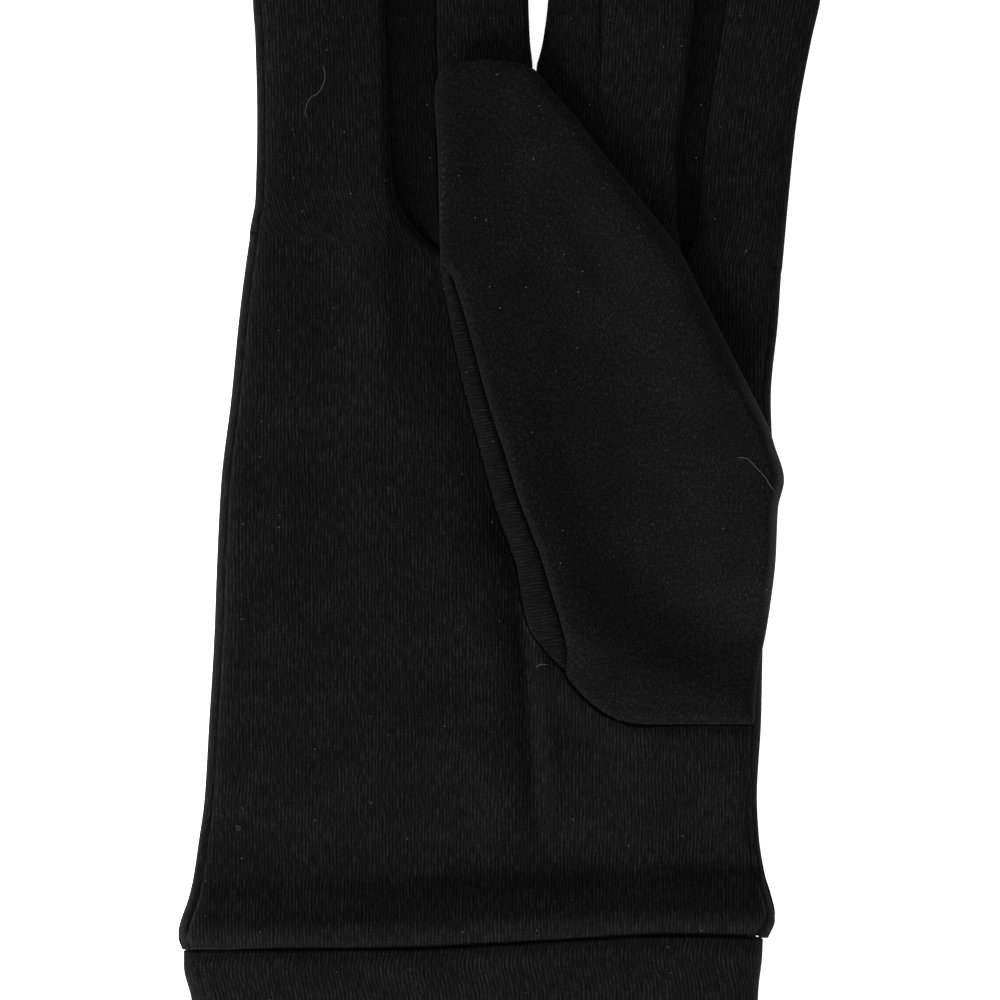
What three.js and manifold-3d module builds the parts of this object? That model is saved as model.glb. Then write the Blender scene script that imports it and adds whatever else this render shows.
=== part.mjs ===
// A thin knitted glove liner for a right hand, lying on its back with the palm up.
// Millimetres. +X runs across the palm towards the index finger, +Y towards the fingertips, +Z up.
// The liner is hollow: every piece is a cloth wall, and neighbours keep the gap of one seam.

import * as THREE from 'three';
import Module from 'manifold-3d';

const wasm = await Module();
wasm.setup();

// Driving dimensions
const palmWidth = 91;
const palmLength = 115.5;
const palmDepth = 8;
const fingerDepth = 7.2;
const littleLength = 62;
const ringLength = 78;
const middleLength = 84;
const indexLength = 75;
const thumbWidth = 30;
const thumbLength = 110;
const thumbDepth = 7.6;
const thumbSeamHeight = 36.5;
const cuffLength = 30;
const cuffDepth = 8.2;
const wall = 1;
const cuffWall = 1.6;
const seamGap = 0.3;
const sideSeamInset = 1.5;
const gussetWidth = 5.2;
const ringStripShown = 7;
const middleStripShown = 9;
const indexStripShown = 5;
const fourchetteDrop = 4;
const foldWidth = 8;
const foldDepth = 0.8;
const crown = 0.25;
const edgeRound = 6;
const fingerRound = 5;
const restRound = 3;
const cuffSeamSlope = 0.023;
const crotchSlope = -0.05;
const fingerOverlap = 8;
const farPast = 20;

// How finely the sections and the fingertips are stepped
const topArcSteps = 3;
const lowArcSteps = 2;
const tipSteps = 4;

// Where a fingertip starts to round, how blunt it is and how much depth it keeps, how high the
// side seams lie in a section, and how far up the thumb its sides still wrap down round the palm
const tipStart = 0.8;
const tipBlunt = 2.4;
const tipHighShare = 0.55;
const seamShare = 0.45;
const thumbWrapEnd = 0.45;

// Palm outline from the cuff seam (along 0) to the finger crotches (along 1).
// along is a share of palmLength, left and right of palmWidth, high of palmDepth.
const palmTable = [
  { along: 0, left: -0.577, right: 0.481, high: 0.9 },
  { along: 0.035, left: -0.578, right: 0.499, high: 0.98 },
  { along: 0.1, left: -0.555, right: 0.479, high: 0.93 },
  { along: 0.2, left: -0.537, right: 0.466, high: 0.98 },
  { along: 0.35, left: -0.526, right: 0.478, high: 1 },
  { along: 0.5, left: -0.515, right: 0.491, high: 1 },
  { along: 0.65, left: -0.506, right: 0.5, high: 1 },
  { along: 0.8, left: -0.484, right: 0.496, high: 0.99 },
  { along: 0.93, left: -0.467, right: 0.507, high: 0.95 },
  { along: 1, left: -0.456, right: 0.515, high: 0.9 },
];

// Cuff outline from its seam (along 0) to its open end (along 1).
// along is a share of cuffLength, left and right of palmWidth, high of cuffDepth.
const cuffTable = [
  { along: 0, left: -0.576, right: 0.48, high: 0.96 },
  { along: 0.3, left: -0.559, right: 0.468, high: 0.97 },
  { along: 0.65, left: -0.557, right: 0.465, high: 1 },
  { along: 1, left: -0.56, right: 0.467, high: 1 },
];

// Fingers: length from the crotch, then the left and right edges as shares of palmWidth,
// at the crotch (root) and where the tip starts to round (end).
const fingers = [
  { name: 'little', length: littleLength, rootLeft: -0.455, rootRight: -0.174, endLeft: -0.442, endRight: -0.212 },
  { name: 'ring', length: ringLength, rootLeft: -0.165, rootRight: 0.064, endLeft: -0.215, endRight: 0.049 },
  { name: 'middle', length: middleLength, rootLeft: 0.073, rootRight: 0.321, endLeft: 0.093, endRight: 0.373 },
  { name: 'index', length: indexLength, rootLeft: 0.33, rootRight: 0.511, endLeft: 0.381, endRight: 0.615 },
];

// How wide the side strip shows on the palm side, on the finger to the right of each valley.
const fourchettes = [
  { name: 'fourchette_little_ring', shown: ringStripShown },
  { name: 'fourchette_ring_middle', shown: middleStripShown },
  { name: 'fourchette_middle_index', shown: indexStripShown },
];

// The folded thumb, from its seam on the palm (along 0) to its tip (along 1).
// along is a share of thumbLength, centre of palmWidth, width of thumbWidth,
// high of thumbDepth above the palm, gusset of gussetWidth.
const thumbTable = [
  { along: 0, centre: 0.357, width: 0.63, high: 0.3, gusset: 0 },
  { along: 0.03, centre: 0.319, width: 0.92, high: 0.62, gusset: 0 },
  { along: 0.066, centre: 0.297, width: 1.08, high: 0.88, gusset: 0 },
  { along: 0.126, centre: 0.276, width: 1.24, high: 1, gusset: 0.9 },
  { along: 0.2, centre: 0.265, width: 1.38, high: 1.04, gusset: 0.96 },
  { along: 0.28, centre: 0.257, width: 1.49, high: 1.04, gusset: 0.87 },
  { along: 0.367, centre: 0.247, width: 1.63, high: 1.02, gusset: 0.77 },
  { along: 0.412, centre: 0.236, width: 1.65, high: 1, gusset: 0.74 },
  { along: 0.474, centre: 0.203, width: 1.595, high: 1, gusset: 0.73 },
  { along: 0.593, centre: 0.151, width: 1.458, high: 1, gusset: 0.5 },
  { along: 0.69, centre: 0.114, width: 1.35, high: 1, gusset: 0 },
  { along: 0.787, centre: 0.074, width: 1.122, high: 1, gusset: 0 },
  { along: 0.907, centre: 0.018, width: 0.795, high: 1, gusset: 0 },
  { along: 0.953, centre: -0.001, width: 0.666, high: 0.97, gusset: 0 },
  { along: 0.982, centre: -0.01, width: 0.5, high: 0.88, gusset: 0 },
  { along: 1, centre: -0.006, width: 0.25, high: 0.62, gusset: 0 },
];

// The hole that joins the hollow of the thumb to that of the palm.
// along is a share of thumbLength, left and right of palmWidth.
const thumbHoleTable = [
  { along: 0.045, left: 0.215, right: 0.425 },
  { along: 0.16, left: 0.14, right: 0.44 },
  { along: 0.33, left: 0.115, right: 0.45 },
];

// Soft folds of the cloth: a line from one point to another, x as a share of palmWidth and y of
// palmLength from the cuff seam. half is its half width as a share of foldWidth, sink of foldDepth.
const palmFolds = [
  { fromX: 0.04, fromY: 0.46, toX: 0.07, toY: 0.12, half: 0.75, sink: 0.75 },
  { fromX: -0.1, fromY: 0.08, toX: 0.47, toY: 0.08, half: 0.625, sink: 0.625 },
];
const thumbFolds = [
  { fromX: 0.17, fromY: 0.49, toX: 0.45, toY: 0.37, half: 1, sink: 1 },
];

// Distance from a point to the line of a fold
function foldDistance(fold, x, y) {
  const from = new THREE.Vector2(fold.fromX * palmWidth, fold.fromY * palmLength);
  const to = new THREE.Vector2(fold.toX * palmWidth, fold.toY * palmLength);
  const run = to.clone().sub(from);
  const point = new THREE.Vector2(x, y);
  const share = THREE.MathUtils.clamp(point.clone().sub(from).dot(run) / run.lengthSq(), 0, 1);
  return point.distanceTo(from.addScaledVector(run, share));
}

// How far the cloth sinks at a point
function foldSink(folds, x, y) {
  let sink = 0;
  for (const fold of folds) {
    sink += fold.sink * foldDepth * Math.exp(-((foldDistance(fold, x, y) / (fold.half * foldWidth)) ** 2));
  }
  return sink;
}

// A solid from points and triangles
function solid(points, triangles) {
  const mesh = new wasm.Mesh({
    numProp: 3,
    vertProperties: new Float32Array(points.flat()),
    triVerts: new Uint32Array(triangles.flat()),
  });
  return new wasm.Manifold(mesh);
}

// Closes a stack of equal rings into one body, with a fan at each end
function stackRings(rings) {
  const count = rings[0].length;
  const points = rings.flat();
  const triangles = [];
  for (let k = 0; k + 1 < rings.length; k += 1) {
    for (let i = 0; i < count; i += 1) {
      const a = k * count + i;
      const b = k * count + ((i + 1) % count);
      triangles.push([a, b, b + count], [a, b + count, a + count]);
    }
  }
  for (const [k, flip] of [[0, true], [rings.length - 1, false]]) {
    const centre = points.length;
    const ring = rings[k];
    points.push([0, 1, 2].map((axis) => ring.reduce((sum, point) => sum + point[axis], 0) / count));
    for (let i = 0; i < count; i += 1) {
      const a = k * count + i;
      const b = k * count + ((i + 1) % count);
      triangles.push(flip ? [b, a, centre] : [a, b, centre]);
    }
  }
  return solid(points, triangles);
}

// Places across a section: close together on the round edges, even between them
function crossPlaces(left, right, round, arcSteps, middleSteps) {
  const places = [];
  for (let k = 0; k <= arcSteps; k += 1) {
    places.push(left + round * (1 - Math.cos((k / arcSteps) * Math.PI / 2)));
  }
  for (let k = 1; k < middleSteps; k += 1) {
    places.push(THREE.MathUtils.lerp(left + round, right - round, k / middleSteps));
  }
  for (let k = arcSteps; k >= 0; k -= 1) {
    places.push(right - round * (1 - Math.cos((k / arcSteps) * Math.PI / 2)));
  }
  return places;
}

// Height share of a rounded edge, 0 at the edge and 1 once past the round
function edgeShare(place, left, right, round) {
  const inside = Math.min(place - left, right - place, round);
  return Math.sqrt(Math.max(0, 1 - (1 - inside / round) ** 2));
}

// One flattened tube section: a crowned top, round edges and a flat underside
function sectionRing(row, shape) {
  const halfWidth = (row.right - row.left) / 2;
  const topRound = Math.min(row.round, halfWidth * 0.98);
  const lowRound = Math.min(restRound, halfWidth * 0.6);
  const seam = THREE.MathUtils.lerp(row.low, row.high, seamShare);
  const middle = (row.left + row.right) / 2;
  const ring = [];
  const push = (x, z) => ring.push([x, row.y + row.slope * x, z]);
  for (const x of crossPlaces(row.left, row.right, topRound, topArcSteps, shape.middleSteps)) {
    const share = edgeShare(x, row.left, row.right, topRound);
    const bulge = row.crown * (1 - ((x - middle) / halfWidth) ** 2);
    const sink = foldSink(shape.folds, x, row.y) * share;
    push(x, THREE.MathUtils.lerp(seam, row.high, share) + bulge * share - sink);
  }
  for (const x of crossPlaces(row.left, row.right, lowRound, lowArcSteps, 1).slice(1, -1).reverse()) {
    push(x, THREE.MathUtils.lerp(seam, row.low, edgeShare(x, row.left, row.right, lowRound)));
  }
  return ring;
}

// A soft tube through its rows, each with y, slope, left, right, low, high, round and crown
function softTube(rows, shape) {
  return stackRings(rows.map((row) => sectionRing(row, shape)));
}

// The same rows moved in by a cloth wall, or out by a negative one
function insetRows(rows, by) {
  return rows.map((row) => ({
    ...row,
    left: row.left + by,
    right: row.right - by,
    low: row.low + by,
    high: row.high - by,
    round: row.round - by,
  }));
}

// A straight-sided block over a plan outline, given by rows of y, left and right
function planBlock(rows, low, high) {
  return stackRings(rows.map(({ y, left, right, slope = 0 }) => [
    [left, y + slope * left, high],
    [right, y + slope * right, high],
    [right, y + slope * right, low],
    [left, y + slope * left, low],
  ]));
}

// The plan rows of a block, moved out by a seam gap
function growPlan(rows, by) {
  const last = rows.length - 1;
  return rows.map((row, k) => ({
    ...row,
    y: row.y + (k === last ? by : 0) - (k === 0 ? by : 0),
    left: row.left - by,
    right: row.right + by,
  }));
}

// Palm and cuff rows in millimetres, with the cuff seam at y = 0
const palmRows = palmTable.map((row) => ({
  y: row.along * palmLength,
  slope: THREE.MathUtils.lerp(cuffSeamSlope, crotchSlope, row.along),
  left: row.left * palmWidth,
  right: row.right * palmWidth,
  low: 0,
  high: row.high * palmDepth,
  round: edgeRound,
  crown,
}));
const cuffRows = cuffTable.map((row) => ({
  y: -seamGap - row.along * cuffLength,
  slope: cuffSeamSlope * (1 - row.along),
  left: row.left * palmWidth,
  right: row.right * palmWidth,
  low: 0,
  high: row.high * cuffDepth,
  round: edgeRound,
  crown,
})).reverse();

// Height of the crotches at a place across the palm
function crotchAt(x) {
  return palmLength + crotchSlope * x;
}

// How much of its width a finger keeps at a share of its length
function tipShare(along) {
  const into = Math.max(0, (along - tipStart) / (1 - tipStart));
  return Math.sqrt(Math.max(0, 1 - into ** tipBlunt));
}

// Rows of one finger, from inside the palm to its round tip
function fingerRows(finger, tipCut) {
  const root = crotchAt((finger.rootLeft + finger.rootRight) / 2 * palmWidth);
  const alongs = [-fingerOverlap / finger.length, 0, 0.4, tipStart];
  for (let k = 1; k <= tipSteps; k += 1) {
    alongs.push(tipStart + (1 - tipStart) * Math.sin((k / (tipSteps + 0.35)) * Math.PI / 2));
  }
  return alongs.map((along) => {
    const lean = Math.max(along, 0) / tipStart;
    const left = THREE.MathUtils.lerp(finger.rootLeft, finger.endLeft, lean) * palmWidth;
    const right = THREE.MathUtils.lerp(finger.rootRight, finger.endRight, lean) * palmWidth;
    const middle = (left + right) / 2;
    const half = (right - left) / 2 * tipShare(along);
    return {
      y: root + along * (finger.length - tipCut),
      slope: 0,
      left: middle - half,
      right: middle + half,
      low: 0,
      high: fingerDepth * THREE.MathUtils.lerp(tipHighShare, 1, tipShare(along)),
      round: fingerRound,
      crown,
    };
  });
}

// Thumb rows: its underside starts at the palm, which is cut away from it afterwards
const thumbFloor = palmDepth + crown + seamGap;
const thumbRows = thumbTable.map((row) => ({
  y: thumbSeamHeight + row.along * thumbLength,
  slope: 0,
  left: row.centre * palmWidth - row.width * thumbWidth / 2,
  right: row.centre * palmWidth + row.width * thumbWidth / 2,
  low: row.along < thumbWrapEnd ? palmDepth / 2 : thumbFloor,
  high: thumbFloor + row.high * thumbDepth,
  round: edgeRound,
  crown,
}));
const thumbHoleRows = thumbHoleTable.map((row) => ({
  y: thumbSeamHeight + row.along * thumbLength,
  left: row.left * palmWidth,
  right: row.right * palmWidth,
}));
const gussetRows = thumbTable.filter((row) => row.gusset > 0).map((row) => {
  const left = row.centre * palmWidth - row.width * thumbWidth / 2;
  return {
    y: thumbSeamHeight + row.along * thumbLength,
    left: left - 1,
    right: left + row.gusset * gussetWidth,
  };
});

// Shapes of the sections: how many steps across the top, and the folds they carry
const palmShape = { middleSteps: 6, folds: palmFolds };
const fingerShape = { middleSteps: 2, folds: [] };
const thumbShape = { middleSteps: 4, folds: thumbFolds };

const wholeHigh = thumbFloor + thumbDepth * 2;

// The hand without its thumb: outer body, hollow and cloth shell
function joinAll(parts) {
  return parts.reduce((whole, part) => whole.add(part));
}
const palmOuter = softTube(palmRows, palmShape);
const palmHollowRows = insetRows(palmRows, wall);
palmHollowRows[0].y -= farPast;
palmHollowRows[palmHollowRows.length - 1].y -= wall;
const handOuter = joinAll([palmOuter, ...fingers.map((finger) => softTube(fingerRows(finger, 0), fingerShape))]);
const handHollow = joinAll([
  softTube(palmHollowRows, palmShape),
  ...fingers.map((finger) => softTube(insetRows(fingerRows(finger, wall), wall), fingerShape)),
]);
const handShell = handOuter.subtract(handHollow);

// Plan rows of the side strips of one valley between two fingers
function fourchettePlans(index) {
  const leftRows = fingerRows(fingers[index], 0);
  const rightRows = fingerRows(fingers[index + 1], 0);
  const shown = fourchettes[index].shown;
  const start = crotchAt(rightRows[0].left) - fourchetteDrop;
  const stripEnd = (rows) => rows.find((row) => row.right - row.left < (rows[1].right - rows[1].left) * 0.97).y;
  const edgeAt = (rows, y, side) => {
    const k = Math.max(1, rows.findIndex((row) => row.y >= y));
    const share = (y - rows[k - 1].y) / (rows[k].y - rows[k - 1].y);
    return THREE.MathUtils.lerp(rows[k - 1][side], rows[k][side], share);
  };
  const shortEnd = Math.min(stripEnd(leftRows), stripEnd(rightRows));
  const crotch = crotchAt(rightRows[0].left);
  const both = [start, crotch, THREE.MathUtils.lerp(crotch, shortEnd, 0.4), shortEnd].map((y) => ({
    y,
    left: edgeAt(leftRows, y, 'right') - sideSeamInset - seamGap,
    right: edgeAt(rightRows, y, 'left')
      + THREE.MathUtils.lerp(shown * 0.6, shown, THREE.MathUtils.clamp((y - crotch) / (shortEnd - crotch), 0, 1)),
  }));
  const plans = [both];
  const longer = stripEnd(rightRows) > stripEnd(leftRows);
  const longEnd = Math.max(stripEnd(leftRows), stripEnd(rightRows));
  if (longEnd - shortEnd > 1) {
    const ownRows = longer ? rightRows : leftRows;
    const between = ownRows.map((row) => row.y).filter((y) => y > shortEnd && y < longEnd - 1);
    plans.push([shortEnd - 1, ...between, longEnd].map((y) => ({
      y,
      left: longer ? edgeAt(rightRows, y, 'left') - seamGap : edgeAt(leftRows, y, 'right') - sideSeamInset - seamGap,
      right: longer ? edgeAt(rightRows, y, 'left') + shown : edgeAt(leftRows, y, 'right') + seamGap,
    })));
  }
  return plans;
}
function fourchetteBlock(index, by) {
  return joinAll(fourchettePlans(index).map((rows) => planBlock(growPlan(rows, by), -1, wholeHigh)));
}
const allFourchettes = joinAll(fourchettes.map((strip, index) => fourchetteBlock(index, seamGap)));

// The palm panel's plan: the hand's outline inside its side seams
function palmPlanBlock(by) {
  const inset = sideSeamInset - by;
  const inside = (rows) => rows.map(({ y, slope, left, right }) => ({
    y, slope, left: left + inset, right: right - inset,
  }));
  const palmPlan = inside(palmRows);
  palmPlan[0].y -= farPast;
  palmPlan[palmPlan.length - 1].y -= inset;
  const blocks = [planBlock(palmPlan, palmDepth / 2 - by, wholeHigh)];
  for (const finger of fingers) {
    const plan = inside(fingerRows(finger, inset)).filter((row) => row.right - row.left > 1);
    blocks.push(planBlock(plan, palmDepth / 2 - by, wholeHigh));
  }
  return joinAll(blocks);
}

const thumbHole = planBlock(thumbHoleRows, palmDepth / 2, thumbFloor + thumbDepth / 2);
const sewnShell = handShell.subtract(allFourchettes);
const palmPanel = sewnShell.intersect(palmPlanBlock(0)).subtract(thumbHole);
const backPanel = sewnShell.subtract(palmPlanBlock(seamGap));

// The thumb: its shell stands on the palm, open to it through the hole
function grownPalm(by) {
  const rows = insetRows(palmRows, -by);
  return softTube(rows, palmShape);
}
const thumbHollowRows = insetRows(thumbRows, wall);
thumbHollowRows[0].y += wall;
thumbHollowRows[thumbHollowRows.length - 1].y -= wall;
const thumbShell = softTube(thumbRows, thumbShape)
  .subtract(grownPalm(seamGap))
  .subtract(softTube(thumbHollowRows, thumbShape).subtract(grownPalm(seamGap + wall)))
  .subtract(thumbHole);
const thumbPiece = thumbShell.subtract(planBlock(growPlan(gussetRows, seamGap), 0, wholeHigh));
const gussetPiece = thumbShell.intersect(planBlock(gussetRows, 0, wholeHigh));

// The cuff: one band, open at both ends
const cuffHollowRows = insetRows(cuffRows, cuffWall);
cuffHollowRows[0].y -= farPast;
cuffHollowRows[cuffHollowRows.length - 1].y += farPast;
const cuffPiece = softTube(cuffRows, { middleSteps: 4, folds: [] })
  .subtract(softTube(cuffHollowRows, { middleSteps: 4, folds: [] }));

// Knitted cloth, near black, with a little difference between the pieces
function cloth(color, roughness) {
  return new THREE.MeshStandardMaterial({ color, roughness, metalness: 0 });
}
const palmCloth = cloth(0x141416, 0.9);
const stripCloth = cloth(0x101012, 0.92);
const thumbCloth = cloth(0x161618, 0.9);
const cuffCloth = cloth(0x151517, 0.92);

// A named mesh from a solid
function namedMesh(name, body, material) {
  const { vertProperties, triVerts } = body.getMesh();
  const geometry = new THREE.BufferGeometry();
  geometry.setAttribute('position', new THREE.BufferAttribute(new Float32Array(vertProperties), 3));
  geometry.setIndex(new THREE.BufferAttribute(new Uint32Array(triVerts), 1));
  geometry.computeVertexNormals();
  const mesh = new THREE.Mesh(geometry, material);
  mesh.name = name;
  return mesh;
}

const liner = new THREE.Group();
liner.add(namedMesh('palm_panel', palmPanel, palmCloth));
liner.add(namedMesh('back_panel', backPanel, palmCloth));
for (const [index, strip] of fourchettes.entries()) {
  const body = handShell.intersect(fourchetteBlock(index, 0));
  liner.add(namedMesh(strip.name, body, stripCloth));
}
liner.add(namedMesh('thumb', thumbPiece, thumbCloth));
liner.add(namedMesh('thumb_gusset', gussetPiece, stripCloth));
liner.add(namedMesh('cuff_band', cuffPiece, cuffCloth));

// The origin is the middle of the underside's bounding box
const box = new THREE.Box3().setFromObject(liner);
const centre = box.getCenter(new THREE.Vector3());
liner.position.set(-centre.x, -centre.y, -box.min.z);

export default liner;
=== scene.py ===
"""A near-black knitted glove liner, lying on its back with the palm up and the thumb folded over it.

Lengths below are millimetres in the liner's own plan: x runs across the palm and is 0 on the photo's
middle line, y runs up from the cuff seam, z is the height over the floor. place() turns them into
metres in the frame.
"""
import math
from dataclasses import dataclass
import bmesh
import bpy
import numpy as np
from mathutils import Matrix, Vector


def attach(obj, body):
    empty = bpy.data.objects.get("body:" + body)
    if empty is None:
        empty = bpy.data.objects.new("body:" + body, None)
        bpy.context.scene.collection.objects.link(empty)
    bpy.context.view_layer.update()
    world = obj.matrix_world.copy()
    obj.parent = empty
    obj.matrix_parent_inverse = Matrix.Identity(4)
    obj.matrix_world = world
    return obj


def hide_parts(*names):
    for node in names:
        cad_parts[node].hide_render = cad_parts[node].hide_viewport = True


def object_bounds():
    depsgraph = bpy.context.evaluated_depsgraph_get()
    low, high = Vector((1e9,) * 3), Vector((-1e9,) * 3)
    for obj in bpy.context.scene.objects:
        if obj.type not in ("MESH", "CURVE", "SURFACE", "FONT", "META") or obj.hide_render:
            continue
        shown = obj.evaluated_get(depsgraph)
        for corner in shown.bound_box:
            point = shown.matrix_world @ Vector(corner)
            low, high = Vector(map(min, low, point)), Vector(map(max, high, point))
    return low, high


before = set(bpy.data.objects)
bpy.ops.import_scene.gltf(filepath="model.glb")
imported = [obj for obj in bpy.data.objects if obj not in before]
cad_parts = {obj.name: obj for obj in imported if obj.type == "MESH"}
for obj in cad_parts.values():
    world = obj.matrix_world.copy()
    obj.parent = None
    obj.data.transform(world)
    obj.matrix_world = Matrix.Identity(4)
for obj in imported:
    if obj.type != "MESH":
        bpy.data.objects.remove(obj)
cad_low, cad_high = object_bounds()

MM = 0.001

# Driving sizes
CUFF_LENGTH = 30.0
SEAM_GAP = 0.3
WIDEST_LEFT = 52.6
PALM_DEPTH = 8.0
FINGER_DEPTH = 7.2
SIDE_MIDDLE = 3.4
THUMB_FLOOR = 7.8
CLOTH = 0.9
CUFF_CLOTH = 1.6

# Round outer sides: how far in their seams lie and how high on the round, and how far the round reaches
SEAM_INSET = 1.5
ROUND_ANGLE = 50.0
ROUND_REACH = 3.2
LOW_REACH = 3.5

# Seam grooves, and their depth as a share of SEAM_DEPTH at each kind of seam
SEAM_DEPTH = 0.45
SEAM_WIDTH = 0.55
OUTER_GROOVE = 0.8
INNER_GROOVE = 0.35
THUMB_GROOVE = 1.3
FOOT_GROOVE = 1.4
CUFF_GROOVE = 0.5

# Camera: what the photo spans, its middle in the plan, and the height at which that span is true
PHOTO_SPAN = 165.0
PHOTO_MIDDLE = (0.0, 73.4)
PHOTO_LEVEL = 4.0
LENS = 100.0
SENSOR = 36.0
CAMERA_HEIGHT = PHOTO_SPAN * LENS / SENSOR + PHOTO_LEVEL

# Where the liner's plan lies in the frame
PLAN_X = cad_low[0] / MM + WIDEST_LEFT
PLAN_Y = cad_low[1] / MM + CUFF_LENGTH + SEAM_GAP

# The cuff seam bends up a little towards the thumb's side
CUFF_SEAM = [(-53.0, -0.8), (-16.5, -0.7), (0.0, 0.1), (9.9, 0.7), (26.9, 1.5), (45.0, 1.1)]

# Outline of the palm: height up from the cuff seam, left edge and right edge
PALM_OUTLINE = [
    (0.0, -52.4, 43.6), (2.1, -53.1, 44.7), (4.0, -52.7, 45.4), (7.4, -51.5, 44.7),
    (10.7, -50.7, 43.7), (17.3, -49.7, 42.7), (23.9, -48.8, 42.4), (37.1, -48.0, 43.1),
    (50.3, -47.2, 43.4), (63.5, -46.7, 44.7), (76.7, -46.0, 45.1), (89.9, -44.4, 44.7),
    (103.1, -43.1, 45.9), (112.0, -42.0, 46.5), (120.0, -40.8, 47.3),
]

# How high the palm stands over the floor, up from the cuff seam
PALM_HEIGHTS = [
    (0.0, 7.9), (4.0, PALM_DEPTH), (12.0, 7.8), (40.0, PALM_DEPTH), (95.0, PALM_DEPTH), (110.0, 7.5),
    (118.0, FINGER_DEPTH),
]

# How far up the palm the finger roots end: at the outer sides and the three crotches
ROOTS = [117.6, 114.3, 115.0, 112.2, 111.8]

# Fingers: edges and depth at places up from the cuff seam, where the tip starts to round, and the tip
FINGERS = [
    dict(
        name="little", tip=178.9, tip_start=168.5, depth=[(114.3, FINGER_DEPTH), (168.5, FINGER_DEPTH)],
        left=[(114.3, -41.5), (117.6, -41.3), (123.0, -40.4), (136.0, -40.1), (149.3, -40.4),
              (156.0, -40.8), (168.5, -40.4)],
        right=[(114.3, -9.4), (116.3, -12.4), (120.5, -15.2), (126.0, -17.2), (140.0, -17.9),
               (149.3, -18.3), (156.0, -18.5), (168.5, -19.2)]),
    dict(
        name="ring", tip=193.7, tip_start=182.5,
        depth=[(114.3, FINGER_DEPTH), (122.0, 6.6), (130.0, 6.2), (142.0, 6.0), (158.0, 4.8), (170.0, 5.2),
               (182.5, 6.2)],
        left=[(114.3, -9.4), (116.3, -12.6), (120.5, -15.5), (126.0, -17.5), (140.0, -18.2), (149.3, -18.6),
              (156.0, -18.8), (161.0, -18.85), (182.5, -18.3)],
        right=[(114.3, 6.3), (115.0, 6.3), (123.0, 5.9), (136.0, 5.5), (144.7, 5.4), (149.3, 4.95),
               (156.0, 4.7), (182.5, 4.4)]),
    dict(
        name="middle", tip=198.6, tip_start=187.0, depth=[(112.2, FINGER_DEPTH), (187.0, FINGER_DEPTH)],
        left=[(112.2, 6.4), (115.0, 6.3), (123.0, 6.3), (129.5, 6.2), (139.4, 5.9), (144.7, 6.0),
              (147.0, 6.6), (149.3, 7.1), (156.0, 7.9), (187.0, 8.8)],
        right=[(112.2, 30.1), (115.0, 29.9), (120.0, 29.7), (131.7, 29.6), (139.6, 31.0), (145.0, 31.5),
               (156.0, 32.6), (187.0, 34.2)]),
    dict(
        name="index", tip=188.6, tip_start=177.5,
        depth=[(111.8, FINGER_DEPTH), (118.0, 6.8), (126.0, 6.0), (135.0, 5.7), (156.0, 5.6), (177.5, 6.0)],
        left=[(111.8, 30.2), (112.2, 30.1), (115.0, 29.7), (120.0, 29.4), (131.7, 29.3), (139.6, 30.7),
              (145.0, 31.2), (156.0, 32.3), (161.0, 32.7), (177.5, 35.2)],
        right=[(111.8, 46.6), (116.3, 47.0), (122.9, 47.6), (136.1, 49.0), (149.3, 51.4), (156.0, 52.9),
               (177.5, 55.4)]),
]

# How each finger's sides slope. A strip between two fingers is sewn to the face above it on the seam
# line, or is shown wide of the edge. angle is how high its seam stands on the round side, reach how far
# in the face is rounded, and lean how much the strip rises to lie against the next finger.
def slope(angle, reach, shown=0.0, seam=None, lean=0.0):
    return dict(angle=angle, reach=reach, shown=shown, seam=seam, lean=lean)


OUTER_SLOPE = slope(ROUND_ANGLE, ROUND_REACH, SEAM_INSET)
SLOPES = dict(
    little=dict(left=OUTER_SLOPE, right=slope(45.0, 1.7, shown=0.6)),
    ring=dict(
        left=slope(70.0, 2.2, seam=[(114.3, -9.4), (126.0, -10.2), (156.0, -10.4), (182.5, -11.0)], lean=1.0),
        right=slope(60.0, 1.3, shown=0.6)),
    middle=dict(
        left=slope(76.0, 3.2, seam=[(115.0, 6.3), (122.0, 12.5), (130.0, 15.5), (137.8, 16.5),
                                    (156.0, 17.0), (187.0, 17.4)]),
        right=slope(55.0, 1.3, shown=0.7)),
    index=dict(
        left=slope(40.0, 3.2, seam=[(112.2, 30.1), (116.5, 32.2), (120.5, 33.0), (127.9, 33.5),
                                    (137.8, 34.8), (155.9, 37.5), (177.5, 39.5)], lean=1.0),
        right=OUTER_SLOPE),
)
LEAN_HEIGHT = 5.6
LEAN_DIP = 0.5

# How a finger's sides change: up from the crotch, on the underside, and where the strips run out
CROTCH_ANGLE = 50.0
CROTCH_RISE = 7.0
LOW_ANGLE = 35.0
LOW_SHOWN = 0.8
FINGER_LOW_REACH = 3.0
STRIP_TAPER = 14.0
TIP_REACH = 4.5
TIP_LOW_REACH = 4.0
TIP_POWER = 2.3

# The thumb: its own left seam, the foot of the strip beside it, and its right edge
THUMB_LEFT = [
    (36.4, 24.0), (36.6, 21.5), (37.5, 18.6), (39.1, 16.0), (41.6, 13.2), (44.8, 11.0), (48.2, 11.1),
    (52.5, 10.2), (58.1, 8.5), (63.5, 6.9), (68.3, 5.1), (73.9, 3.0), (82.0, 0.5), (87.9, -1.5),
    (101.3, -5.1), (107.7, -7.0), (111.5, -8.5), (112.6, -9.8), (120.0, -10.0), (131.2, -10.3),
    (136.0, -10.6), (139.4, -10.8), (141.9, -10.6), (143.1, -10.2), (144.0, -9.7), (144.9, -8.9),
    (145.5, -7.4), (145.9, -5.2), (146.1, -3.3),
]
THUMB_FOOT = [
    (44.8, 10.8), (47.0, 8.5), (49.5, 6.6), (52.0, 4.95), (56.4, 3.6), (61.9, 2.7), (71.0, -0.5),
    (83.3, -3.8), (95.5, -6.9), (106.0, -8.9), (112.2, -9.9),
]
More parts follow.
